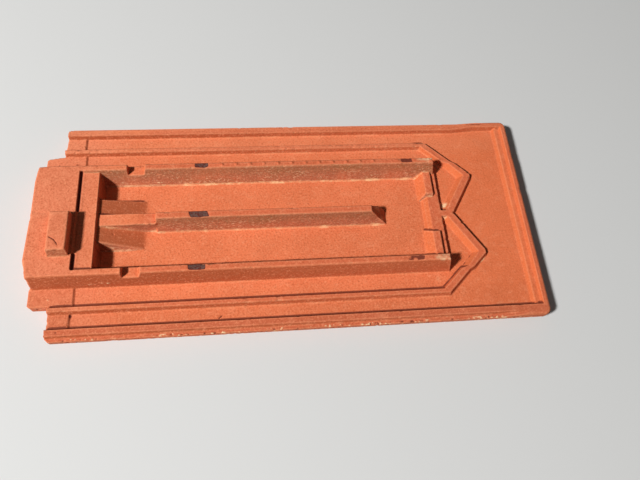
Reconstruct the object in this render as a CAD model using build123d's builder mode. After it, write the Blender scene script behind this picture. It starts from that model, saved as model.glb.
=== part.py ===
from build123d import *
import os

# Sizes in mm. X runs from the head end (negative) to the tail end (positive), Y across, Z up.
# The tile lies on its weather face, so the ribbed underside looks up.
head_end = -217.0
tail_end = 217.0
flange_inset = 18.2
far_flange_trim = 1.8
flange_start = head_end + flange_inset
far_flange_start = flange_start + far_flange_trim
near_edge = 99.2
far_trim = 1.0
far_edge = near_edge - far_trim
tail_corner = 6.0
panel_z = 12.0
lip_z = 16.8
margin_z = 13.8
margin_width = 4.2
margin_slope = 0.9
lip_width = 5.1
lip_slope = 1.4
lip_outer = near_edge - margin_width
lip_inner = lip_outer - lip_width
lip_foot = lip_inner - lip_slope
margin_foot = lip_outer + margin_slope
margin_end = 169.0
margin_ramp_end = 197.0
tail_round = 2.5
flange_corner = 2.8

# how far cutters pass the body, how far raised parts run down into it, and the same for the slim ones
clear = 10.0
bury = 1.0
slim_bury = 0.2
skin = 0.01

# tail rim: a soft rise, a flat band, then a small step
rim_width = 14.1
rim_slope = 4.4
rim_flat = 3.3
rim_step_slope = 1.0
rim_cut = 5.3
rim_band_z = 14.3
rim_foot = tail_end - rim_width
rim_foot_cut = rim_foot + rim_cut
rim_band = rim_foot + rim_slope
rim_band_end = rim_band + rim_flat
rim_step = rim_band_end + rim_step_slope

# wider panel near the tail, on the far side only
flare_gap = 18.9
flare_length = 22.0
flare_widening = 1.9
flare_top_widening = 2.8
flare_end = rim_foot - flare_gap
flare_start = flare_end - flare_length
flare_foot = lip_foot + flare_widening
flare_top = lip_inner + flare_top_widening

# raised strip across the head ends of the ledges and of the grooves beside the flanges
ledge_step_inset = 36.8
groove_step_inset = 35.0
ledge_step_x = head_end + ledge_step_inset
groove_step_x = head_end + groove_step_inset
step_rise = 0.9

# head outline, listed from the near side to the far side
block_side_trim = 3.4
crown_trim = 1.6
crown_far_trim = 2.4
far_ledge_trim = 3.0
block_side = head_end + block_side_trim
crown_points = [(head_end, -36.5), (head_end + crown_trim, 8.0), (head_end + crown_trim, 36.0),
                (head_end + crown_far_trim, 44.0)]
head_half = 70.0
head_taper = 2.2
head_corner = 1.6
near_ledge_end = head_end + crown_trim
far_ledge_end = head_end + far_ledge_trim

# small sealing ridges beside the flanges
ridge_z = 16.3
ridge_in_foot = 70.0
ridge_in_top = 71.8
ridge_out_top = 75.2
ridge_out_foot = 77.2
ridge_round = 0.8

# tall ribs along the tray
rib_z = 30.0
rib_in_foot = 39.2
rib_in_top = 45.3
rib_out_top = 50.4
rib_out_foot = 55.0
crown_round = 1.4
rib_end_top = 132.2
rib_end_foot = 135.4

# head block, bar and boss
block_length = 37.5
bar_length = 16.0
bar_z = 27.6
cove_z = 29.2
cove_length = 4.7
boss_length = 48.5
boss_z = 24.8
boss_half = 5.2
ramp_half = 19.5
ramp_foot = 22.8
ramp_length = 39.0
ramp_top_length = 0.5
block_end = head_end + block_length
bar_end = block_end + bar_length
boss_end = bar_end + boss_length
ramp_end = bar_end + ramp_length
ramp_top_end = bar_end + ramp_top_length

# hanging nib on the head block
nib_z = 39.5
nib_inset = 20.0
nib_length = 15.2
nib_left = head_end + nib_inset
nib_right = nib_left + nib_length
nib_far = 2.2
nib_near = -31.6
nib_draft = 1.6
nib_round = 1.0

# central ridge
centre_z = 30.4
centre_start_slope = 1.5
centre_start = boss_end - centre_start_slope
centre_top = 2.9
centre_foot = 7.1
centre_round = 0.9
centre_top_end = 69.0
centre_foot_end = 85.0

# notches across the tall ribs
notch_start = -140.5
notch_end = -128.0
notch_end_top = -125.0
notch_z = 23.8

# cross wall and gussets at the tail end of the tray
wall_foot = 120.5
wall_tread_start = 121.9
wall_tread = 122.6
wall_top = 125.6
wall_tread_z = 14.2
wall_end = 136.0
gusset_z = 19.4
gusset_foot = 117.4
gusset_top = 124.0
gusset_end = 130.9
gusset_round = 0.8
gusset_in_top = 19.0
gusset_in_foot = 14.5
gusset_out = 44.0

# double chevron ridge round two sunk basins, from the small ridge to the centre line,
# with the width of the slope below each side
chevron_top = [(131.5, ridge_out_top), (153.0, 54.6), (157.2, 52.3), (169.8, 40.3), (169.7, 36.9),
               (146.8, 0.0)]
chevron_slopes = [2.0, 2.0, 2.0, 2.0, 2.0]
basin_top = [(127.2, ridge_in_top), (146.0, 54.0), (152.2, 51.8), (163.9, 38.9), (141.5, 2.8),
             (wall_end, 2.8)]
basin_slopes = [1.9, 2.0, 4.5, 4.0, 1.5]
basin_wall_slope = 0.6
chevron_back = 126.5
basin_back_x = 118.5
basin_back_y = 37.2

# hidden weather face
joint_half = 5.0
joint_slope = 2.0
joint_depth = 4.0
channel_width = 21.2
channel_in = channel_width - near_edge
channel_slope = 3.0
channel_lift = 8.8
channel_rib_gaps = (4.2, 13.2)
channel_rib_z = 2.5
channel_rib_top = 1.3
channel_rib_foot = 2.2
channel_rib_inset = 6.0
channel_rib_start = flange_start + channel_rib_inset
channel_rib_end = 180.0
lap_end = -128.0
lap_slope = 4.0
lap_lift = 3.0
lap_pads = (-203.0, -178.0)
lap_pad_length = 7.0
lap_pad_half = 64.0


def strip(points, start, end, radius=0.0):
    with BuildPart() as bar:
        with BuildSketch(Plane.YZ.offset(start)) as profile:
            with BuildLine():
                Polyline(*points, close=True)
            make_face()
            if radius:
                fillet(profile.vertices().group_by(Axis.Y)[-1], radius)
        extrude(amount=end - start)
    return bar.part


def frustum(lower, lower_z, upper, upper_z, radius=0.0):
    low = [Vector(x, y, lower_z) for x, y in lower]
    high = [Vector(x, y, upper_z) for x, y in upper]
    faces = [Face(Wire.make_polygon(low)), Face(Wire.make_polygon(high))]
    for i in range(len(low)):
        j = (i + 1) % len(low)
        a, b, c, d = low[i], low[j], high[j], high[i]
        normal = (b - a).cross(c - a)
        if abs(normal.normalized().dot(d - a)) < 1e-6:
            faces.append(Face(Wire.make_polygon([a, b, c, d])))
        else:
            faces.append(Face(Wire.make_polygon([a, b, c])))
            faces.append(Face(Wire.make_polygon([a, c, d])))
    lump = Solid(Shell(faces))
    if lump.volume < 0:
        lump = Solid(Shell([-face for face in faces]))
    if radius:
        lump = lump.fillet(radius, lump.edges().group_by(Axis.Z)[-1])
    return lump


def slab(x0, x1, y0, y1):
    return [(x0, y0), (x1, y0), (x1, y1), (x0, y1)]


def widened(points, gaps):
    # each side of a closed outline, listed clockwise, moves outwards by its own gap
    lines = []
    for i, gap in enumerate(gaps):
        a = Vector(*points[i])
        along = (Vector(*points[(i + 1) % len(points)]) - a).normalized()
        lines.append((a + Vector(-along.Y, along.X) * gap, along))
    corners = []
    for i, (b, forward) in enumerate(lines):
        a, back = lines[i - 1]
        reach = ((b - a).cross(forward)).Z / back.cross(forward).Z
        corner = a + back * reach
        corners.append((corner.X, corner.Y))
    return corners


def mirrored(points, side):
    return [(x, side * y) for x, y in points]


with BuildPart() as rib:
    add(strip(
        [(rib_in_foot, panel_z - bury), (rib_in_foot, panel_z), (rib_in_top, rib_z),
         (rib_out_top, rib_z), (rib_out_foot, panel_z), (rib_out_foot, panel_z - bury)],
        block_side, rib_end_foot,
    ))
    # leaning end at the tail
    with BuildSketch(Plane.XZ.offset(-rib_out_foot - clear)):
        with BuildLine():
            Polyline((rib_end_top, rib_z + clear), (rib_end_top, rib_z), (rib_end_foot, panel_z),
                     (rib_end_foot + clear, panel_z), (rib_end_foot + clear, rib_z + clear), close=True)
        make_face()
    extrude(amount=rib_out_foot + clear, mode=Mode.SUBTRACT)

with BuildPart() as roof_tile:
    # body up to the level of the lips
    crown = [(block_side, -rib_out_top)] + crown_points + [(block_side, rib_out_top)]
    with BuildSketch() as outline:
        with BuildLine():
            Polyline(
                (flange_start, -near_edge + flange_corner), (flange_start + flange_corner, -near_edge),
                (tail_end, -near_edge), (tail_end, far_edge), (far_flange_start, far_edge),
                (flange_start, ridge_out_foot), close=True,
            )
        make_face()
        with BuildLine():
            Polyline(
                *crown, (far_ledge_end, rib_out_foot), (far_ledge_end, head_half - head_taper - head_corner),
                (far_ledge_end + head_corner, head_half - head_taper), (flange_start, head_half),
                (flange_start, -head_half), (near_ledge_end + head_corner, -head_half),
                (near_ledge_end, -head_half + head_corner), (near_ledge_end, -rib_out_foot),
                close=True,
            )
        make_face()
        fillet([v for v in outline.vertices() if v.X > tail_end - 1], tail_corner)
    extrude(amount=lip_z)
    fillet([e for e in roof_tile.edges().group_by(Axis.Z)[-1] if e.center().X > 0], tail_round)

    # panel sunk between the lips and the tail rim, a little higher at the head
    add(frustum(
        slab(head_end - clear, ledge_step_x, -lip_foot, lip_foot), panel_z + step_rise,
        slab(head_end - clear, ledge_step_x, -lip_inner, lip_inner), lip_z + skin,
    ), mode=Mode.SUBTRACT)
    under_ridge = (ridge_in_top + ridge_out_top) / 2
    stepped = [(groove_step_x, under_ridge), (ledge_step_x, under_ridge),
               (ledge_step_x, -under_ridge), (groove_step_x, -under_ridge)]
    add(frustum(
        stepped + [(groove_step_x, -lip_foot), (flare_start, -lip_foot), (flare_start, lip_foot),
                   (groove_step_x, lip_foot)],
        panel_z,
        stepped + [(groove_step_x, -lip_inner), (flare_start, -lip_inner), (flare_start, lip_inner),
                   (groove_step_x, lip_inner)],
        lip_z + skin,
    ), mode=Mode.SUBTRACT)
    add(frustum(
        [(flare_start, -lip_foot), (flare_end, -lip_foot), (flare_end, flare_foot),
         (flare_start, lip_foot)],
        panel_z,
        [(flare_start, -lip_inner), (flare_end, -lip_inner), (flare_end, flare_top),
         (flare_start, lip_inner)],
        lip_z + skin,
    ), mode=Mode.SUBTRACT)
    add(frustum(
        slab(flare_end, rim_foot, -lip_foot, flare_foot), panel_z,
        slab(flare_end, rim_foot_cut, -lip_inner, flare_top), lip_z + skin,
    ), mode=Mode.SUBTRACT)
    add(frustum(
        slab(rim_foot, rim_band, -lip_foot, flare_foot), rim_band_z,
        slab(rim_foot, rim_band, -lip_inner, flare_top), lip_z + skin,
    ), mode=Mode.SUBTRACT)

    # flat band and small step of the tail rim
    add(frustum(
        slab(rim_foot, rim_band_end, -lip_foot, flare_foot), rim_band_z,
        slab(rim_foot, rim_step, -lip_inner, flare_top), lip_z + skin,
    ), mode=Mode.SUBTRACT)

    # lower margin outside each lip, which runs up to the rim at the tail
    for side in (-1, 1):
        add(frustum(
            slab(head_end - clear, margin_end, side * margin_foot, side * (near_edge + clear)), margin_z,
            slab(head_end - clear, margin_ramp_end, side * lip_outer, side * (near_edge + clear)),
            lip_z + skin,
        ), mode=Mode.SUBTRACT)

    # small sealing ridges
    for side in (-1, 1):
        add(strip(
            [(side * ridge_in_foot, panel_z), (side * ridge_in_top, ridge_z),
             (side * ridge_out_top, ridge_z), (side * ridge_out_foot, panel_z),
             (side * ridge_out_foot, panel_z - bury), (side * ridge_in_foot, panel_z - bury)],
            flange_start, chevron_top[0][0], ridge_round,
        ))

    # chevron ridge
    outer = [(chevron_back, ridge_out_top)] + chevron_top + [(chevron_back, 0.0)]
    outer_foot = widened(outer, [chevron_slopes[0]] + chevron_slopes + [0.0, 0.0])
    for side in (-1, 1):
        add(frustum(mirrored(outer_foot, side), panel_z, mirrored(outer, side), ridge_z))

    # sunk basins
    behind = [(wall_end, basin_back_y), (basin_back_x, basin_back_y), (basin_back_x, ridge_in_top)]
    basin = basin_top + behind
    floor_gaps = basin_slopes + [basin_wall_slope, 0.0, 0.0, ridge_in_top - ridge_in_foot]
    basin_floor = widened(basin, [-gap for gap in floor_gaps])
    for side in (-1, 1):
        add(frustum(
            mirrored(basin_floor, side), panel_z, mirrored(basin, side), ridge_z + skin,
        ), mode=Mode.SUBTRACT)

    # tall ribs
    add(rib.part)
    mirror(rib.part, about=Plane.XZ)

    # head block and bar
    add(strip(
        [(-rib_out_top, panel_z - bury), (-rib_out_top, rib_z), (rib_out_top, rib_z),
         (rib_out_top, panel_z - bury)],
        block_side, block_end,
    ))
    with BuildSketch(Plane.XY.offset(panel_z - bury)):
        with BuildLine():
            Polyline(*crown, close=True)
        make_face()
    extrude(amount=rib_z - panel_z + bury)
    crests = roof_tile.edges().group_by(Axis.Z)[-1]
    fillet([e for e in crests if abs(e.center().X - block_end) > 0.1], crown_round)
    add(strip(
        [(-rib_in_top, panel_z - bury), (-rib_in_top, bar_z), (rib_in_top, bar_z),
         (rib_in_top, panel_z - bury)],
        block_end - bury, bar_end,
    ))
    with BuildSketch(Plane.XZ.offset(-rib_in_top)):
        with BuildLine():
            Polyline((block_end - bury, bar_z - bury), (block_end - bury, cove_z), (block_end, cove_z),
                     (block_end + cove_length / 3, bar_z + (cove_z - bar_z) / 3),
                     (block_end + cove_length, bar_z), (block_end + cove_length, bar_z - bury), close=True)
        make_face()
    extrude(amount=2 * rib_in_top)

    # boss with a ramp on each side
    with Locations(((bar_end - bury + boss_end) / 2, 0, (panel_z - bury + boss_z) / 2)):
        Box(boss_end - bar_end + bury, 2 * boss_half, boss_z - panel_z + bury)
    add(frustum(
        slab(bar_end - bury, ramp_end, -ramp_foot, ramp_foot), panel_z - slim_bury,
        slab(bar_end - bury, ramp_top_end, -ramp_half, ramp_half), boss_z,
    ))

    # central ridge
    add(frustum(
        slab(centre_start, centre_foot_end, -centre_foot, centre_foot), panel_z - slim_bury,
        slab(boss_end, centre_top_end, -centre_top, centre_top), centre_z, centre_round,
    ))

    # nib
    add(frustum(
        slab(nib_left - nib_draft, nib_right, nib_near - nib_draft, nib_far + nib_draft), rib_z - slim_bury,
        slab(nib_left, nib_right, nib_near, nib_far), nib_z, nib_round,
    ))

    # notches across the ribs
    for start_y in (rib_out_foot, -rib_in_foot):
        with BuildSketch(Plane.XZ.offset(-start_y)):
            with BuildLine():
                Polyline((notch_start, notch_z), (notch_end, notch_z), (notch_end_top, rib_z + bury),
                         (notch_start, rib_z + bury), close=True)
            make_face()
        extrude(amount=rib_out_foot - rib_in_foot, mode=Mode.SUBTRACT)

    # cross wall and gussets
    with BuildSketch(Plane.XZ.offset(-rib_in_top)):
        with BuildLine():
            Polyline((wall_foot, panel_z - bury), (wall_foot, panel_z), (wall_tread_start, wall_tread_z),
                     (wall_tread, wall_tread_z), (wall_top, ridge_z), (wall_end, ridge_z),
                     (wall_end, panel_z - bury), close=True)
        make_face()
    extrude(amount=2 * rib_in_top)
    for side in (-1, 1):
        add(frustum(
            slab(gusset_foot, gusset_end, side * gusset_in_foot, side * gusset_out), panel_z - slim_bury,
            slab(gusset_top, gusset_end, side * gusset_in_top, side * gusset_out), gusset_z, gusset_round,
        ))

    # weather face, which lies on the ground
    add(strip(
        [(-joint_half, -clear), (-joint_half, 0), (-joint_half + joint_slope, joint_depth),
         (joint_half - joint_slope, joint_depth), (joint_half, 0), (joint_half, -clear)],
        lap_end, tail_end + clear,
    ), mode=Mode.SUBTRACT)
    add(strip(
        [(channel_in, -clear), (channel_in, 0), (channel_in - channel_slope, channel_lift),
         (-near_edge - clear, channel_lift), (-near_edge - clear, -clear)],
        head_end - clear, tail_end + clear,
    ), mode=Mode.SUBTRACT)
    for gap in channel_rib_gaps:
        rib_y = gap - near_edge
        add(strip(
            [(rib_y - channel_rib_foot, channel_lift), (rib_y - channel_rib_top, channel_rib_z),
             (rib_y + channel_rib_top, channel_rib_z), (rib_y + channel_rib_foot, channel_lift)],
            channel_rib_start, channel_rib_end,
        ))
    with BuildSketch(Plane.XZ.offset(-near_edge - clear)):
        with BuildLine():
            Polyline((head_end - clear, -clear), (head_end - clear, lap_lift),
                     (lap_end - lap_slope, lap_lift), (lap_end, 0), (lap_end, -clear), close=True)
        make_face()
    extrude(amount=2 * (near_edge + clear), mode=Mode.SUBTRACT)
    for pad_x in lap_pads:
        with Locations((pad_x, 0, lap_lift / 2)):
            Box(lap_pad_length, 2 * lap_pad_half, lap_lift)

os.makedirs("parts", exist_ok=True)
roof_tile.part.label = "roof_tile"
export_step(roof_tile.part, "parts/roof_tile.step")
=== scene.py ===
import bmesh
import bpy
import math
import numpy as np
from mathutils import Euler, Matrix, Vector


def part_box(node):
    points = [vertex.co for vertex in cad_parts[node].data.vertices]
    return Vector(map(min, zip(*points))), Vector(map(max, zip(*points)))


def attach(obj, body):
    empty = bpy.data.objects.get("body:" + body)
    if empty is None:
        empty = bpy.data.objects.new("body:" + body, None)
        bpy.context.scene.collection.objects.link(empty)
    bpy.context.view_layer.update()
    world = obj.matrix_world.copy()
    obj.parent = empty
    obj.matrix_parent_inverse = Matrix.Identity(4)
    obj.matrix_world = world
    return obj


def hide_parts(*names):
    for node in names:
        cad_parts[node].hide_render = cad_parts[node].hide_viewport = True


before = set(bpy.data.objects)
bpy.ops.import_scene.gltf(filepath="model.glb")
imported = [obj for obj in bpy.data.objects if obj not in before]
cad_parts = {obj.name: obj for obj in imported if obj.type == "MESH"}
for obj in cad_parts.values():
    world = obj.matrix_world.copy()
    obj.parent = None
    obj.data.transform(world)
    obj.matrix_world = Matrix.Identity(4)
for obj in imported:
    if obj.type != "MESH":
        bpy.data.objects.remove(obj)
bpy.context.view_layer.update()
mm = 0.001
print("frame loaded: nodes", sorted(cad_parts))


# random fields and soft shapes over points in mm

lattice = {
    "values": 4096,                             # random values behind each field
    "primes": (73856093, 19349663, 83492791),   # scatter the lattice's corners over them
    "fold": 15,
    "shift": 400.0,                             # cells, keeps the lattice positive
}


def ramp(values, low, high):  # soft step from 0 at low to 1 at high
    t = np.clip((values - low) / (high - low), 0, 1)
    return t * t * (3 - 2 * t)


def cloud(spots, size, seed):  # smooth random field from -1 to 1 with lumps about size mm wide
    table = np.random.default_rng(seed).uniform(-1, 1, lattice["values"])
    grid = spots / size + lattice["shift"]
    cell = np.floor(grid).astype(np.int64)
    ease = ramp(grid - cell, 0, 1)
    total = np.zeros(len(spots))
    for corner in range(8):
        step = np.array([corner & 1, corner >> 1 & 1, corner >> 2 & 1])
        share = np.prod(np.where(step, ease, 1 - ease), axis=1)
        key = ((cell + step) * lattice["primes"]).sum(axis=1)
        total += share * table[(key ^ key >> lattice["fold"]) % lattice["values"]]
    return total


def swell(spots, height, size, seed):  # a random field that reaches height mm either way
    return height * cloud(spots, size, seed)


def patchy(spots, size, seed, low, high):  # 0 to 1, where a random field passes from low to high
    return ramp(cloud(spots, size, seed), low, high)


def pad(spots, centre, size, corner, soft=0.35):  # 1 inside a rounded rectangle seen from above
    gap = np.abs(spots[:, :2] - centre) - (np.array(size) / 2 - corner)
    away = np.hypot(*np.maximum(gap, 0).T) + np.minimum(gap.max(axis=1), 0) - corner
    return 1 - ramp(away, -soft, soft)


def ball(spots, centre, radii):  # bell shape round one point
    return np.exp(-(((spots - np.array(centre)) / radii) ** 2).sum(axis=1))


def beside(spots, low, high, reach):  # which points lie within reach of a box
    inside = (spots > np.array(low) - reach) & (spots < np.array(high) + reach)
    return np.flatnonzero(inside.all(axis=1))


def along(spots, path):  # distance in mm from a line through the path's points
    nearest = np.full(len(spots), np.inf)
    for a, b in zip(path[:-1], path[1:]):
        a = np.array(a, float)
        run = np.array(b, float) - a
        t = np.clip((spots - a) @ run / (run @ run), 0, 1)
        nearest = np.minimum(nearest, np.linalg.norm(spots - a - t[:, None] * run, axis=1))
    return nearest


# the tile's skin while it is aged: what lies on each point of the pressed surface

class Skin:
    def __init__(self, spots, normals, arris, sideways, fill, low):
        self.spots = spots                      # mm
        self.normals = normals
        self.arris = arris                      # above 0 on an edge, below 0 in a hollow
        self.sideways = sideways                # above 0 where a hollow's wall faces the near side
        self.fill = fill                        # mm that would soften a hollow
        self.low = low                          # mm, lower corner of the tile's box
        self.height = np.zeros(len(spots))      # mm that are added along the normal
        self.tint = np.zeros(len(spots))        # from -1 for a dark pit, crack and painted shadow line to 1 for a pale crumb
        self.kiln = np.zeros(len(spots))        # 1 where a kiln mark is whole


# in what follows, a random field is given by its lumps' width in mm, its seed and, for patches, the two
# levels between which it goes from 0 to 1

pressedClay = {
    "warp": (0.08, 47, 1),      # the height in mm comes first in these three
    "lumps": (0.04, 13, 2),
    "tooth": (0.025, 3.1, 3),
    "crisp": 0.9,               # how strongly arrises and hollows are sharpened again
    "filled": 1.0,              # share of the softened hollows that is filled at the head of the tray
    "headTray": {"centre": (-146, 0), "size": (66, 92), "corner": 6, "soft": 4},
    "trayTop": (20, 26),        # mm, where that filling ends
}


def pressTile(skin):
    kit = pressedClay
    skin.height += swell(skin.spots, *kit["warp"]) + swell(skin.spots, *kit["lumps"])
    headTray = pad(skin.spots, **kit["headTray"]) * (1 - ramp(skin.spots[:, 2], *kit["trayTop"]))
    skin.height += swell(skin.spots, *kit["tooth"]) + kit["filled"] * skin.fill * headTray
    skin.height += kit["crisp"] * np.where(skin.arris < 0, skin.arris * (1 - headTray), skin.arris)


looseArrises = {
    "loss": 0.45,               # mm, most that an arris loses
    "shade": 0.3,
    "arris": (0.05, 0.16),
    "patches": (21, 4, 0.05, 0.6),
    "grains": (2.6, 5, 0.05, 0.6),
    "weakEnds": [((-209, 50, 29), 6), ((129, 48, 30), 6), ((129, -48, 30), 6)],     # place and reach in mm
}


def crumbleArrises(skin):  # worst at the head's far corner and at the tail ends of the ribs
    kit = looseArrises
    ends = sum(ball(skin.spots, place, reach) for place, reach in kit["weakEnds"])
    weak = patchy(skin.spots, *kit["patches"]) + np.minimum(ends, 1)
    loose = np.minimum(weak, 1) * ramp(skin.arris, *kit["arris"]) * patchy(skin.spots, *kit["grains"])
    skin.height -= kit["loss"] * loose
    skin.tint += kit["shade"] * loose


cutWalls = {
    "facing": (0.4, 0.7),       # a normal that points this far up or down is no wall's
    "top": (9.5, 12),           # mm
    "pits": (2.2, 8, 0.45, 0.75),
    "pitDepth": 0.5,
    "pitShade": 0.8,
    "crumbs": (2.0, 9, 0.5, 0.8),
    "crumbShade": 0.8,
}


def pitCutWalls(skin):  # pits and torn clay on the lower part of the cut side walls
    kit = cutWalls
    wall = 1 - ramp(np.abs(skin.normals[:, 2]), *kit["facing"])
    wall = wall * (1 - ramp(skin.spots[:, 2], *kit["top"]))
    pitted = wall * patchy(skin.spots, *kit["pits"])
    skin.height -= kit["pitDepth"] * pitted
    skin.tint += wall * kit["crumbShade"] * patchy(skin.spots, *kit["crumbs"]) - kit["pitShade"] * pitted


ridgeNose = {
    "farCheek": ((77, 4.5, 20), 6),     # place and reach in mm
    "farRise": 1.3,
    "nearCheek": ((77, -4.5, 20), 5),
    "nearWear": 1.1,
}


def wearRidgeNose(skin):  # the worn and slightly twisted nose of the middle ridge
    kit = ridgeNose
    rise = kit["farRise"] * ball(skin.spots, *kit["farCheek"])
    skin.height += rise - kit["nearWear"] * ball(skin.spots, *kit["nearCheek"])


kilnMarks = {
    "marks": [                  # centre, size and depth in mm, how dark, and how much has worn off
        {"at": (-77.1, 48.3), "size": (11.4, 4.8), "slant": 0.0, "depth": 0.35, "dark": 1.0, "worn": 0.0},
        {"at": (-79.2, 0.3), "size": (15.4, 6.0), "slant": 0.35, "depth": 0.35, "dark": 1.0, "worn": 0.0},
        {"at": (-80.7, -47.3), "size": (14.0, 5.0), "slant": 0.0, "depth": 0.35, "dark": 1.0, "worn": 0.0},
        {"at": (107.5, 48.5), "size": (10.6, 5.2), "slant": 0.15, "depth": 0.3, "dark": 0.38, "worn": 0.0},
        {"at": (102.6, -47.6), "size": (13.8, 4.8), "slant": -0.2, "depth": 0.25, "dark": 0.36, "worn": 0.6},
    ],
    "level": 28.0,              # mm
    "reach": 13.0,
    "corner": 1.4,
    "wobble": 0.4,
    "wobbleSize": 3,
    "wobbleSeeds": (6, 7),
    "facing": (0.3, 0.8),       # only on what faces up
    "flakes": (2.6, 13, 0.0, 0.4),
}


def burnKilnMarks(skin):
    kit = kilnMarks
    for mark in kit["marks"]:
        at = np.array((*mark["at"], kit["level"]))
        near = beside(skin.spots, at, at, kit["reach"])
        part = skin.spots[near]
        wobble = np.stack([cloud(part, kit["wobbleSize"], seed) for seed in kit["wobbleSeeds"]], axis=1)
        edge = part[:, :2] + kit["wobble"] * wobble
        edge[:, 0] += mark["slant"] * (edge[:, 1] - at[1])
        topSide = ramp(skin.normals[near, 2], *kit["facing"])
        patch = topSide * pad(edge, mark["at"], mark["size"], kit["corner"])
        patch *= 1 - mark["worn"] * patchy(part, *kit["flakes"])
        skin.height[near] -= mark["depth"] * patch
        skin.kiln[near] = np.maximum(skin.kiln[near], mark["dark"] * patch)


pips = {                        # mm, a row of small pips on the far rib
    "first": -59.3,
    "last": 76.4,
    "count": 12,
    "y": 48.1,
    "z": 30.0,
    "radius": 1.35,
    "height": 0.75,
    "reach": 4.0,
}


def raisePips(skin):
    for x in np.linspace(pips["first"], pips["last"], pips["count"]):
        at = (x, pips["y"], pips["z"])
        near = beside(skin.spots, at, at, pips["reach"])
        skin.height[near] += pips["height"] * ball(skin.spots[near, :2], at[:2], pips["radius"])


# knocks, where the rise is below 0, stuck crumbs, where it is above, and plain stains
knockShape = {
    "reach": 2.6,               # radii
    "even": 0.8,                # share of the rise that each has all over
    "uneven": 0.7,              # share that comes and goes in lumps
    "lump": 0.7,                # radii
    "seed": 10,
}
knocks = [                      # place, radii and rise in mm, and a tint from -1 for dark to 1 for pale
    ((-188.0, -32.0, 37.5), (3.0, 3.0, 3.0), -0.5, 0.15),
    ((-198.5, -31.0, 34.0), (2.2, 2.2, 2.2), -0.6, -0.2),
    ((-192.1, -33.0, 33.0), (0.8, 0.8, 0.8), -0.5, -0.6),
    ((-187.8, 61.5, 12.9), (2.4, 0.9, 1.5), 0.5, -0.6),
    ((-208.0, -48.4, 30.0), (1.2, 0.6, 1.0), -0.3, -0.5),
    ((-196.1, -48.4, 30.0), (0.7, 0.7, 0.7), -0.3, -0.4),
    ((-210.9, -44.3, 30.0), (1.0, 1.0, 1.0), -0.5, -0.5),
    ((-166.9, -53.8, 16.9), (2.0, 0.7, 0.7), 0.5, 0.75),
    ((-157.9, -53.4, 18.2), (1.6, 0.7, 0.7), 0.5, 0.7),
    ((-152.6, -53.5, 17.8), (2.2, 0.7, 0.7), 0.5, 0.7),
    ((-140.6, 49.5, 29.0), (1.6, 1.2, 1.6), -0.5, 0.6),
    ((-139.8, 46.5, 28.0), (1.2, 1.6, 1.4), -0.4, 0.5),
    ((-115.0, 40.3, 15.2), (3.0, 0.8, 0.9), 0.5, 0.8),
    ((-146.7, 40.6, 16.1), (1.8, 0.7, 0.8), 0.4, 0.8),
    ((-119.0, 16.1, 12.0), (0.8, 0.8, 0.8), -0.4, -0.6),
    ((-142.0, 0.0, 24.8), (0.8, 0.6, 0.8), -0.3, -0.5),
    ((-150.3, -11.6, 20.5), (0.9, 0.9, 0.9), -0.4, -0.5),
    ((-119.7, -47.2, 30.0), (1.0, 0.6, 0.8), -0.3, -0.5),
    ((16.7, 16.1, 12.0), (0.8, 0.8, 0.8), -0.4, -0.5),
    ((-181.2, -78.4, 12.5), (1.6, 2.2, 1.8), -0.1, -0.35),
    ((-189.5, -92.1, 16.8), (1.8, 1.0, 1.2), -0.5, -0.5),
    ((-199.9, -64.2, 12.9), (1.3, 0.7, 0.9), 0.4, 0.6),
    ((-212.0, 52.0, 28.5), (5.0, 2.4, 3.0), -0.9, -0.15),
    ((-203.0, 53.5, 27.0), (3.2, 1.8, 3.0), -0.7, 0.1),
    ((-193.0, 53.0, 28.0), (2.0, 1.5, 2.0), -0.4, 0.3),
    ((-195.4, 32.5, 30.0), (7.0, 5.0, 2.0), 0.0, -0.12),
    ((-165.7, -46.7, 30.0), (4.5, 1.4, 2.0), 0.0, -0.3),
    ((-184.1, -94.8, 16.0), (2.2, 1.2, 2.0), 0.0, -0.5),
    ((141.6, 9.2, 12.8), (4.0, 3.0, 2.5), 0.0, 1.0),
    ((125.0, 49.5, 30.0), (8.0, 3.2, 3.0), -0.2, 0.75),
    ((126.0, -48.4, 30.0), (9.0, 3.2, 3.0), -0.2, 0.8),
    ((122.0, 61.0, 12.0), (9.0, 6.0, 2.5), 0.0, 0.3),
    ((128.0, -62.5, 12.0), (12.0, 6.0, 2.5), 0.0, 0.3),
    ((184.0, -85.0, 12.0), (22.0, 3.2, 2.5), 0.0, 0.3),
    ((-203.0, 61.0, 12.9), (1.8, 0.8, 1.2), 0.3, -0.5),
    ((-197.0, 60.6, 12.9), (1.0, 0.7, 1.2), 0.3, -0.4),
    ((-204.4, 49.2, 30.0), (2.2, 0.7, 1.2), -0.3, -0.35),
    ((-175.0, 50.2, 30.0), (2.6, 0.7, 1.2), -0.3, 0.4),
    ((-165.8, 49.9, 29.9), (1.8, 0.8, 1.2), -0.3, -0.45),
    ((113.2, -34.2, 12.0), (6.0, 4.0, 2.5), 0.0, -0.25),
]


def knockAndStain(skin):
    kit = knockShape
    for place, radii, rise, shade in knocks:
        near = beside(skin.spots, place, place, kit["reach"] * np.array(radii))
        part = skin.spots[near]
        lumpy = kit["even"] + swell(part, kit["uneven"], kit["lump"] * min(radii), kit["seed"])
        bell = ball(part, place, radii) * lumpy
        skin.height[near] += rise * bell
        skin.tint[near] += shade * bell


nearArris = {
    "depth": 2.2,               # mm from the tile's near side
    "low": 7.5,
    "high": 14.5,
    "ragged": (16, 14),
    "tailwards": 0.5,           # how much more ragged it gets between these places
    "between": (-120, 60),
    "levels": (-0.1, 0.5),
    "crumbs": (1.5, 15, 0.25, 0.55),
    "crumbRise": 0.25,
    "crumbShade": 0.8,
    "holes": (1.7, 16, 0.3, 0.6),
    "holeDepth": 0.35,
    "holeShade": 0.55,
}


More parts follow.
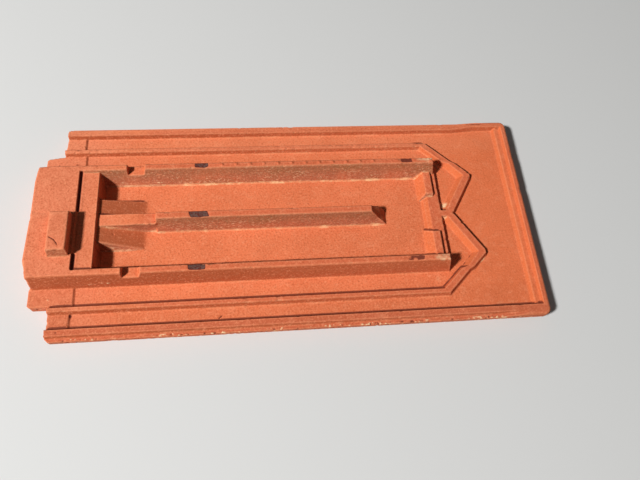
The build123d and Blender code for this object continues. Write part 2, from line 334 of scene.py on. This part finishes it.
def tearNearArris(skin):  # crumbs and torn holes, thickest towards the tail
    kit = nearArris
    y, z = skin.spots[:, 1], skin.spots[:, 2]
    near = np.flatnonzero((y < skin.low[1] + kit["depth"]) & (z > kit["low"]) & (z < kit["high"]))
    part = skin.spots[near]
    ragged = cloud(part, *kit["ragged"]) + kit["tailwards"] * ramp(part[:, 0], *kit["between"])
    ragged = ramp(ragged, *kit["levels"])
    crumbs = ragged * patchy(part, *kit["crumbs"])
    holes = ragged * patchy(part, *kit["holes"])
    skin.height[near] += kit["crumbRise"] * crumbs - kit["holeDepth"] * holes
    skin.tint[near] += kit["crumbShade"] * crumbs - kit["holeShade"] * holes


nearCrumbs = {                  # mm
    "count": 260,
    "seed": 12,
    "from": -205.0,
    "to": 214.0,
    "inwards": 1.2,
    "low": 7.5,
    "high": 14.0,
    "radius": (0.5, 1.2),
    "shades": [-0.7, 0.7, 1.0],
    "rise": 0.4,                # for a shade of 1, so that dark ones are holes
    "reach": 3,                 # radii
}


def scatterCrumbs(skin):  # loose crumbs and holes along the cut near wall and its upper arris
    kit = nearCrumbs
    dice = np.random.default_rng(kit["seed"])
    for _ in range(kit["count"]):
        x = dice.uniform(kit["from"], kit["to"])
        y = skin.low[1] + dice.uniform(0, kit["inwards"])
        place = (x, y, dice.uniform(kit["low"], kit["high"]))
        radius = dice.uniform(*kit["radius"])
        shade = dice.choice(kit["shades"])
        near = beside(skin.spots, place, place, kit["reach"] * radius)
        bell = ball(skin.spots[near], place, radius)
        skin.height[near] += kit["rise"] * shade * bell
        skin.tint[near] += shade * bell


scoreShape = {"reach": 3, "floor": 0.4, "edge": 1.3}        # widths of the score
scores = [                      # fine cracks, scores and two painted shadow lines: points, width and depth in mm, and how dark
    {"path": [(-195.1, -20.3, 39.5), (-191.2, -22.6, 39.5), (-188.6, -26.0, 39.5), (-187.6, -29.0, 39.0)],
     "width": 0.45, "depth": 0.4, "dark": 0.7},
    # painted shadow over a shallow groove: these two dark scores beside the block's end widen its shadow on
    # the bar
    {"path": [(-178.2, -44.0, 29.0), (-178.2, -32.0, 29.0)], "width": 1.7, "depth": 0.9, "dark": 1.0},
    {"path": [(-178.2, 8.0, 29.0), (-178.2, 44.0, 29.0)], "width": 1.4, "depth": 0.9, "dark": 1.0},
    {"path": [(-215.3, 8.0, 30.0), (-199.5, 4.5, 30.0)], "width": 0.5, "depth": 0.15, "dark": 0.2},
    {"path": [(-64.5, -86.5, 12.0), (-62.0, -84.3, 12.0)], "width": 0.6, "depth": 0.4, "dark": 0.6},
    {"path": [(-181.4, -78.0, 12.4), (-182.4, -83.0, 12.4), (-181.6, -88.4, 12.4)],
     "width": 1.2, "depth": 0.15, "dark": 0.3},
    {"path": [(-181.4, 78.0, 12.4), (-181.9, 83.0, 12.4), (-181.0, 88.4, 12.4)],
     "width": 1.2, "depth": 0.15, "dark": 0.3},
    {"path": [(-180.4, -55.5, 12.4), (-180.7, -69.5, 12.4)], "width": 0.8, "depth": 0.15, "dark": 0.3},
    {"path": [(-180.4, 59.0, 12.4), (-180.2, 69.5, 12.4)], "width": 0.8, "depth": 0.15, "dark": 0.25},
]


def scoreLines(skin):
    for score in scores:
        path = np.array(score["path"])
        width = score["width"]
        near = beside(skin.spots, path.min(axis=0), path.max(axis=0), scoreShape["reach"] * width)
        away = along(skin.spots[near], score["path"])
        groove = 1 - ramp(away, width * scoreShape["floor"], width * scoreShape["edge"])
        skin.height[near] -= score["depth"] * groove
        skin.tint[near] -= score["dark"] * groove


slopeFeet = {"hollow": (0.01, 0.07), "facing": (0.01, 0.08)}


def colouringFields(skin):  # what the clay's material reads
    foot = ramp(-skin.arris, *slopeFeet["hollow"])
    return {
        "arris": skin.arris,
        "paintedShadowLine": foot * ramp(-skin.sideways, *slopeFeet["facing"]),      # foot of a wall that faces away from the lamp: painted shadow line
        "dustAndHighlight": foot * ramp(skin.sideways, *slopeFeet["facing"]),      # foot of one that faces the near side and the lamp: pale dust with painted highlight
        "kiln": skin.kiln,
        "tint": np.clip(skin.tint, -1, 1),
    }


# the tile's mesh, worked from a copy of the frame's tile

tileWork = {
    "weld": 0.01,               # mm
    "grain": 0.6,               # mm, cell of the working mesh
    "quickGrain": 1.3,
    "pressing": 3,              # passes that round the arrises
    "reading": 14,              # passes that tell arris from hollow
    "softening": 45,            # more passes, towards whose surface hollows may be filled
    "triangles": 190000,
}


def links(mesh):
    pairs = np.zeros(len(mesh.edges) * 2, np.int32)
    mesh.edges.foreach_get("vertices", pairs)
    return pairs.reshape(-1, 2).T


def eased(points, pairs, passes):  # every point drawn halfway to its neighbours' mean, again and again
    a, b = pairs
    size = len(points)
    count = np.bincount(a, minlength=size) + np.bincount(b, minlength=size)
    for _ in range(passes):
        mean = np.stack([
            (np.bincount(a, points[b, k], size) + np.bincount(b, points[a, k], size)) / count
            for k in range(3)
        ], axis=1)
        points = (points + mean) / 2
    return points


def modified(piece, kind, **settings):  # one modifier, applied
    step = piece.modifiers.new(kind.lower(), kind)
    for name, value in settings.items():
        setattr(step, name, value)
    depsgraph = bpy.context.evaluated_depsgraph_get()
    mesh = bpy.data.meshes.new_from_object(piece.evaluated_get(depsgraph))
    piece.modifiers.remove(step)
    piece.data = mesh
    return mesh


def readVectors(rows, key):
    flat = np.zeros(len(rows) * 3, np.float32)
    rows.foreach_get(key, flat)
    return flat.reshape(-1, 3).astype(float)


def readPoints(mesh):
    return readVectors(mesh.vertices, "co") / mm


def writePoints(mesh, points):
    mesh.vertices.foreach_set("co", (points * mm).astype(np.float32).ravel())
    mesh.update()


def writeField(mesh, name, values):
    field = mesh.attributes.new(name, "FLOAT", "POINT")
    field.data.foreach_set("value", values.astype(np.float32))


def makeTile():
    low, high = (np.array(corner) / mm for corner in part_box("roof_tile"))
    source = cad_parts["roof_tile"].data.copy()
    tile = bpy.data.objects.new("fired_tile", source)
    bpy.context.scene.collection.objects.link(tile)
    modified(tile, "WELD", merge_threshold=tileWork["weld"] * mm)
    grain = tileWork["grain"]
    mesh = modified(tile, "REMESH", mode="VOXEL", voxel_size=grain * mm, adaptivity=0.0)
    pairs = links(mesh)
    points = eased(readPoints(mesh), pairs, tileWork["pressing"])
    writePoints(mesh, points)
    normals = readVectors(mesh.vertex_normals, "vector")
    smooth = eased(points, pairs, tileWork["reading"])
    bend = points - smooth
    arris = (bend * normals).sum(axis=1)
    softer = eased(smooth, pairs, tileWork["softening"])
    fill = np.maximum(((softer - points) * normals).sum(axis=1), 0)
    print("working mesh:", len(points), "points; arris", arris.min().round(3), "to", arris.max().round(3))
    skin = Skin(points, normals, arris, bend[:, 1], fill, low)
    stages = (pressTile, crumbleArrises, pitCutWalls, wearRidgeNose, burnKilnMarks,
              raisePips, knockAndStain, tearNearArris, scatterCrumbs, scoreLines)
    for stage in stages:
        stage(skin)
        print("aged:", stage.__name__, skin.height.min().round(2), "to", skin.height.max().round(2), "mm")
    writePoints(mesh, np.clip(points + normals * skin.height[:, None], low, high))
    for name, values in colouringFields(skin).items():
        writeField(mesh, name, values)
    share = tileWork["triangles"] / (2 * len(mesh.polygons))
    mesh = modified(tile, "DECIMATE", ratio=min(1.0, share), use_collapse_triangulate=True)
    writePoints(mesh, np.clip(readPoints(mesh), low, high))
    mesh.polygons.foreach_set("use_smooth", [True] * len(mesh.polygons))
    mesh.update()
    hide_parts("roof_tile")
    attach(tile, "root")
    print("tile finished:", len(mesh.polygons), "faces")
    return tile


# shader maths

class Wire:  # a socket that takes part in sums
    def __init__(self, bench, socket):
        self.bench = bench
        self.socket = socket

    def maths(self, operation, *terms):
        return self.bench.node("ShaderNodeMath", {"operation": operation}, terms)

    def __add__(self, other):
        return self.maths("ADD", self, other)

    def __sub__(self, other):
        return self.maths("SUBTRACT", self, other)

    def __mul__(self, other):
        return self.maths("MULTIPLY", self, other)

    def __rsub__(self, other):
        return self.maths("SUBTRACT", other, self)

    def __abs__(self):
        return self.maths("ABSOLUTE", self)

    __radd__ = __add__
    __rmul__ = __mul__

    def step(self, low, high):  # soft step from 0 at low to 1 at high
        settings = {"interpolation_type": "SMOOTHSTEP", "clamp": True}
        sockets = {"Value": self, "From Min": low, "From Max": high}
        return self.bench.node("ShaderNodeMapRange", settings, sockets)


class Bench:  # the nodes of one material or world
    def __init__(self, block, shader="Principled BSDF"):
        self.block = block
        self.block.use_nodes = True
        self.tree = self.block.node_tree
        self.shader = self.tree.nodes[shader]

    def node(self, kind, settings=None, sockets=(), out=0):
        made = self.tree.nodes.new(kind)
        for name, value in (settings or {}).items():
            setattr(made, name, value)
        named = sockets.items() if isinstance(sockets, dict) else enumerate(sockets)
        for key, value in named:
            self.plug(made.inputs[key], value)
        return Wire(self, made.outputs[out])

    def plug(self, socket, value):
        if isinstance(value, Wire):
            self.tree.links.new(value.socket, socket)
        else:
            socket.default_value = value

    def finish(self, sockets):  # what the shader's own sockets get
        for name, value in sockets.items():
            self.plug(self.shader.inputs[name], value)
        return self.block

    def blend(self, share, under, over):
        return self.node("ShaderNodeMix", {"data_type": "RGBA"}, {0: share, 6: under, 7: over}, out=2)

    def noise(self, spot, size, detail, rough):  # lumps about size mm wide, from 0 to 1
        sockets = {"Vector": spot, "Scale": 1 / size, "Detail": detail, "Roughness": rough}
        return self.node("ShaderNodeTexNoise", {}, sockets)

    def field(self, name):
        return self.node("ShaderNodeAttribute", {"attribute_name": name}, out="Fac")

    def stretched(self, spot, scale):
        return self.node("ShaderNodeVectorMath", {"operation": "MULTIPLY"}, (spot, scale))

    def apart(self, vector):  # its x, y and z
        return tuple(self.node("ShaderNodeSeparateXYZ", {}, (vector,), out=k) for k in range(3))


def paint(red, green, blue):  # a screen colour from 0 to 255 as the shader wants it
    return tuple(
        (c / 255 / 12.92 if c <= 10 else ((c / 255 + 0.055) / 1.055) ** 2.4) for c in (red, green, blue)
    ) + (1.0,)


# the tile's fired clay, laid on coat by coat

clayLook = {
    "clay": paint(232, 124, 80),
    "tail": paint(230, 118, 72),
    "head": paint(224, 126, 88),
    "nearLip": paint(206, 105, 70),
    "ribTop": paint(214, 104, 67),
    "litSideOrange": paint(206, 104, 58),
    "deep": paint(174, 83, 43),
    "pale": paint(242, 152, 110),
    "film": paint(184, 108, 76),
    "olive": paint(160, 106, 68),
    "scuffs": paint(240, 186, 146),
    "paleDustAndHighlight": paint(240, 190, 140),
    "cream": paint(243, 200, 155),
    "pitAndShadow": paint(92, 32, 19),
    "mark": paint(104, 80, 72),
    "markRim": paint(92, 32, 22),
    "roughness": 0.92,
    "specular": 0.3,
    "bump": 0.8,
    "bumpDepth": 0.4,           # mm
    "bumpMottle": 0.6,
}
clayGrain = {                   # lumps' width in mm, detail, roughness, and how far they are squeezed along x
    "clouds": (34, 3, 0.55, 1.0),
    "mottle": (7, 4, 0.6, 1.0),
    "grit": (1.7, 3, 0.7, 1.0),
    "specks": (2.1, 2, 0.5, 0.7),
    "patches": (15, 3, 0.6, 0.45),
    "strokes": (1.4, 4, 0.7, 0.5),
    "broken": (8, 4, 0.7, 0.5),
}
clayEdges = {                   # mm, where a shade begins and where it is full
    "tail": (80, 190),
    "head": (-190, -130),
    "ribTop": (14.5, 15.5),
    "ribStart": (-135, -120),
    "nearLip": (-92, -86),
    "nearMargin": (-75, -62),
    "farMargin": (62, 75),
    "ledgeEnd": (-184, -179),
    "ledgeInside": (-54, -51),
    "ledgeOutside": (-93, -90),
    "slopeFoot": (11.9, 12.7),
    "trayWall": (46.5, 49.0),
    "outsideFade": (-150, 120),
    "olive": (17, 26),
    "scuffTop": (20, 28),
    "fineTail": (130, 160),
    "dustAndHighlightStart": (-130, -110),
    "farDustAndHighlight": (20, 40),
    "farRidge": (60, 64),
    "farRidgeEnd": (118, 126),
}
clayLevels = {                  # the same for what a surface faces, its grain and its fields
    "levelTop": (0.8, 0.9),
    "levelFace": (0.84, 0.97),
    "litSideFace": (0.25, 0.6),
    "rampFace": (0.12, 0.28),
    "steepRamp": (0.45, 0.6),
    "endFace": (0.15, 0.35),
    "nearFace": (0.1, 0.5),
    "fineFace": (0.2, 0.4),
    "farFace": (0.3, 0.7),
    "clouds": (0.35, 0.7),
    "mottle": (0.48, 0.75),
    "filmClouds": (0.35, 0.6),
    "olivePatches": (0.5, 0.62),
    "scuffPatches": (0.4, 0.58),
    "scuffs": (0.55, 0.61),
    "streaks": (0.56, 0.66),
    "grit": (0.5, 0.68),
    "paleGrit": (0.52, 0.68),
    "specks": (0.64, 0.71),
    "dustAndHighlightGaps": (0.4, 0.66),
    "dustAndHighlightLumps": (0.46, 0.62),
    "paintedShadowLine": (0.15, 0.75),
    "worn": (0.05, 0.18),
    "wornLumps": (0.3, 0.7),
    "ash": (0.4, 0.65),
    "markRim": (0.1, 0.45),
    "mark": (0.6, 0.95),
    "pitAndShadow": (0.1, 0.7),
    "cream": (0.1, 0.9),
}
clayShares = {                  # how much of a shade is laid, and how much of that something adds or takes
    "ribTop": 0.8,
    "nearMargin": 0.14,
    "farMargin": 0.18,
    "ledge": 0.22,
    "clouds": 0.2,
    "mottle": 0.3,
    "litSideOrange": 0.75,
    "ramps": 0.65,
    "steepRamp": 0.5,
    "outside": 0.9,
    "outsideFade": 0.3,
    "film": 0.7,
    "filmClouds": 0.3,
    "oliveTop": 0.45,
    "olivePatches": 0.4,
    "scuffs": 0.4,
    "scuffPatches": 0.6,
    "scuffTop": 0.5,
    "insideScuffs": 0.75,
    "outsideScuffs": 0.2,
    "streaks": 0.5,
    "fineTail": 0.35,
    "fineFace": 0.25,
    "grit": 0.52,
    "paleGrit": 0.42,
    "specks": 0.45,
    "headDustAndHighlight": 0.3,
    "bodyDustAndHighlight": 0.5,
    "farDustAndHighlight": 0.2,
    "trayOnly": 0.85,
    "dustAndHighlightLevel": 0.85,
    "dustAndHighlightGaps": 0.7,
    "paleDustAndHighlight": 0.15,
    "dustAndHighlightLumps": 0.7,
    "paintedShadowLine": 0.8,
    "unshadedRidge": 0.85,
    "worn": 0.15,
    "wornLumps": 0.2,
    "ash": 0.85,
}


class Clay(Bench):
    def __init__(self):
        super().__init__(bpy.data.materials.new("fired_clay"))
        place = self.node("ShaderNodeTexCoord", out="Object")
        spot = self.node("ShaderNodeVectorMath", {"operation": "SCALE"}, {0: place, "Scale": 1 / mm})
        self.x, self.y, self.z = self.apart(spot)
        self.leanX, self.leanY, self.up = self.apart(self.node("ShaderNodeTexCoord", out="Normal"))
        self.grain = {
            name: self.noise(self.stretched(spot, (squeeze, 1.0, 1.0)), size, detail, rough)
            for name, (size, detail, rough, squeeze) in clayGrain.items()
        }
        self.colour = clayLook["clay"]

    def coat(self, share, shade):  # lays a shade over what is there
        self.colour = self.blend(share, self.colour, clayLook[shade])

    def layBody(self):  # shades from head to tail, from side to side and by height, then a painted lit orange on faces that turn to the lamp and painted shade on faces that turn away
        edge, level, share = clayEdges, clayLevels, clayShares
        self.coat(self.x.step(*edge["tail"]), "tail")
        self.coat(1 - self.x.step(*edge["head"]), "head")
        raised = self.z.step(*edge["ribTop"]) * self.up.step(*level["levelTop"])
        self.coat(raised * self.x.step(*edge["ribStart"]) * share["ribTop"], "ribTop")
        self.coat(1 - self.y.step(*edge["nearLip"]), "nearLip")
        self.coat((1 - self.y.step(*edge["nearMargin"])) * share["nearMargin"], "deep")
        self.coat(self.y.step(*edge["farMargin"]) * share["farMargin"], "pale")
        ledge = (1 - self.x.step(*edge["ledgeEnd"])) * (1 - self.y.step(*edge["ledgeInside"]))
        self.coat(ledge * self.y.step(*edge["ledgeOutside"]) * share["ledge"], "deep")
        self.coat(self.grain["clouds"].step(*level["clouds"]) * share["clouds"], "deep")
        self.coat(self.grain["mottle"].step(*level["mottle"]) * share["mottle"], "pale")
        # painted light: faces that turn towards the head and the lamp get a more saturated lit orange
        self.coat((0 - self.leanX).step(*level["litSideFace"]) * share["litSideOrange"], "litSideOrange")
        # painted shade: faces that turn towards the tail, away from the lamp, are darkened, less so where
        # they lean far over
        ramps = 1 - self.leanX.step(*level["steepRamp"]) * share["steepRamp"]
        self.coat(self.leanX.step(*level["rampFace"]) * ramps * share["ramps"], "deep")

    def laySlopes(self):  # dusty film and scuffs on the slopes of the tray, painted shade in a deeper red on the other steep slopes
        edge, level, share = clayEdges, clayLevels, clayShares
        clouds, patches, strokes = (self.grain[name] for name in ("clouds", "patches", "strokes"))
        steep = (1 - abs(self.up).step(*level["levelFace"])) * self.z.step(*edge["slopeFoot"])
        steep = steep * (1 - abs(self.leanX).step(*level["endFace"]))
        inside = steep * (1 - abs(self.y).step(*edge["trayWall"])) * (0 - self.leanY).step(*level["nearFace"])
        outside = steep - inside
        fading = share["outside"] - self.x.step(*edge["outsideFade"]) * share["outsideFade"]
        # painted shade: steep slopes other than the near-facing ones in the tray are darkened, a little less
        # towards the tail
        self.coat(outside * fading, "deep")
        self.coat(inside * (share["film"] + share["filmClouds"] * clouds.step(*level["filmClouds"])), "film")
        olive = self.z.step(*edge["olive"]) * share["oliveTop"]
        self.coat(inside * (olive + patches.step(*level["olivePatches"]) * share["olivePatches"]), "olive")
        scuffed = patches.step(*level["scuffPatches"]) * share["scuffPatches"] + share["scuffs"]
        scuffed = strokes.step(*level["scuffs"]) * scuffed
        scuffed = scuffed * (1 - self.z.step(*edge["scuffTop"]) * share["scuffTop"])
        self.coat(scuffed * (inside * share["insideScuffs"] + outside * share["outsideScuffs"]), "scuffs")
        self.coat(steep * (1 - strokes).step(*level["streaks"]) * share["streaks"], "deep")

    def layGrain(self):  # finer at the tail and on slopes that lean towards the head or the tail
        edge, level, share = clayEdges, clayLevels, clayShares
        grit = self.grain["grit"]
        coarse = 1 - self.x.step(*edge["fineTail"]) * share["fineTail"]
        coarse = coarse * (1 - abs(self.leanX).step(*level["fineFace"]) * share["fineFace"])
        self.coat(grit.step(*level["grit"]) * coarse * share["grit"], "deep")
        self.coat((1 - grit).step(*level["paleGrit"]) * coarse * share["paleGrit"], "pale")
        self.coat(self.grain["specks"].step(*level["specks"]) * coarse * share["specks"], "pale")

    def layEdges(self):  # pale dust and painted highlight at the feet of slopes facing the near side, painted shadow lines beside the walls that face away, worn arrises
        edge, level, share = clayEdges, clayLevels, clayShares
        broken = self.grain["broken"]
        within = share["headDustAndHighlight"] + self.x.step(*edge["dustAndHighlightStart"]) * share["bodyDustAndHighlight"]
        within = within + self.y.step(*edge["farDustAndHighlight"]) * share["farDustAndHighlight"]
        within = (1 - abs(self.y).step(*edge["trayWall"]) * share["trayOnly"]) * within
        gaps = share["dustAndHighlightLevel"] - broken.step(*level["dustAndHighlightGaps"]) * share["dustAndHighlightGaps"]
        dustAndHighlightShare = share["paleDustAndHighlight"] + share["dustAndHighlightLumps"] * broken.step(*level["dustAndHighlightLumps"])
        # pale dust and painted highlight at the feet of slopes that face the near side and the lamp
        self.coat(self.field("dustAndHighlight").step(gaps, 1.0) * dustAndHighlightShare * within, "paleDustAndHighlight")
        # painted shadow: dark lines at the feet of walls that face away from the lamp, left off the far
        # sealing ridge
        unshaded = self.y.step(*edge["farRidge"]) * (1 - self.x.step(*edge["farRidgeEnd"])) * share["unshadedRidge"]
        self.coat(self.field("paintedShadowLine").step(*level["paintedShadowLine"]) * share["paintedShadowLine"] * (1 - unshaded), "pitAndShadow")
        worn = share["worn"] + share["wornLumps"] * broken.step(*level["wornLumps"])
        worn = self.field("arris").step(*level["worn"]) * worn
        self.coat(worn * (1 - self.leanY.step(*level["farFace"])), "pale")

    def layMarks(self):  # kiln marks with a dark red rim, then pits, cracks and painted shadow lines, then crumbs
        level = clayLevels
        kiln, tint = self.field("kiln"), self.field("tint")
        ash = self.blend(self.grain["grit"].step(*level["ash"]), clayLook["mark"], clayLook["markRim"])
        self.coat(kiln.step(*level["markRim"]), "markRim")
        self.colour = self.blend(kiln.step(*level["mark"]) * clayShares["ash"], self.colour, ash)
        self.coat((0 - tint).step(*level["pitAndShadow"]), "pitAndShadow")
        self.coat(tint.step(*level["cream"]), "cream")

    def sand(self):  # bump of the clay's own grain
        height = self.grain["grit"] + self.grain["mottle"] * clayLook["bumpMottle"]
        sockets = {"Strength": clayLook["bump"], "Distance": clayLook["bumpDepth"] * mm, "Height": height}
        return self.node("ShaderNodeBump", {}, sockets)


def makeClay():
    clay = Clay()
    for lay in (clay.layBody, clay.laySlopes, clay.layGrain, clay.layEdges, clay.layMarks):
        lay()
    print("clay mixed:", len(clay.tree.nodes), "nodes")
    return clay.finish({
        "Base Color": clay.colour,
        "Roughness": clayLook["roughness"],
        "Specular IOR Level": clayLook["specular"],
        "Normal": clay.sand(),
    })


# floor, light and camera

studio = {
    "floor": paint(214, 214, 212),
    "floorRoughness": 0.9,
    "floorReach": 6,            # m
    "keyFrom": (-0.88, -0.43, 1.0),
    "keyAway": 3.2,             # m
    "keySize": 0.32,
    "keyPower": 130.0,          # W
    "sky": 0.06,                # what lights the tile from all round
    "backdrop": 0.62,           # what the camera and reflections see past the floor
}
photoCamera = {
    "place": (-30.6, -216.9, 460.0),        # mm
    "turn": (24.02, -4.89, -4.61),          # degrees
    "focal": 31.5,                          # mm
    "sensor": 36,
    "nearest": 0.01,                        # m
}


def makeFloor():
    sheet = bmesh.new()
    bmesh.ops.create_grid(sheet, x_segments=1, y_segments=1, size=studio["floorReach"])
    floorMesh = bpy.data.meshes.new("floor")
    sheet.to_mesh(floorMesh)
    sheet.free()
    floor = bpy.data.objects.new("floor", floorMesh)
    bpy.context.scene.collection.objects.link(floor)
    bench = Bench(bpy.data.materials.new("pale_floor"))
    pale = bench.finish({"Base Color": studio["floor"], "Roughness": studio["floorRoughness"]})
    floorMesh.materials.append(pale)


def makeLamp():
    lamp = bpy.data.lights.new("key", "AREA")
    lamp.energy = studio["keyPower"]
    lamp.size = studio["keySize"]
    key = bpy.data.objects.new("key", lamp)
    towards = Vector(studio["keyFrom"]).normalized()
    key.location = towards * studio["keyAway"]
    key.rotation_mode = "QUATERNION"
    key.rotation_quaternion = towards.to_track_quat("Z", "Y")
    bpy.context.scene.collection.objects.link(key)


def makeSky():
    sky = Bench(bpy.data.worlds.new("studio"), "Background")
    rays = ("Is Camera Ray", "Is Glossy Ray", "Is Transmission Ray")
    direct, glossy, through = (sky.node("ShaderNodeLightPath", out=name) for name in rays)
    seen = sky.node("ShaderNodeMath", {"operation": "ADD", "use_clamp": True}, (direct + glossy, through))
    strength = studio["sky"] + (studio["backdrop"] - studio["sky"]) * seen
    bpy.context.scene.world = sky.finish({"Color": (1, 1, 1, 1), "Strength": strength})


def makeCamera():
    lens = bpy.data.cameras.new("photo_camera")
    lens.lens = photoCamera["focal"]
    lens.sensor_width = photoCamera["sensor"]
    lens.clip_start = photoCamera["nearest"]
    camera = bpy.data.objects.new("photo_camera", lens)
    camera.location = Vector(photoCamera["place"]) * mm
    camera.rotation_euler = Euler([math.radians(a) for a in photoCamera["turn"]], "XYZ")
    bpy.context.scene.collection.objects.link(camera)
    bpy.context.scene.camera = camera


tile = makeTile()
tile.data.materials.clear()
tile.data.materials.append(makeClay())
makeFloor()
makeLamp()
makeSky()
makeCamera()
bpy.context.scene.view_settings.view_transform = "Standard"
print("floor, light and camera set")
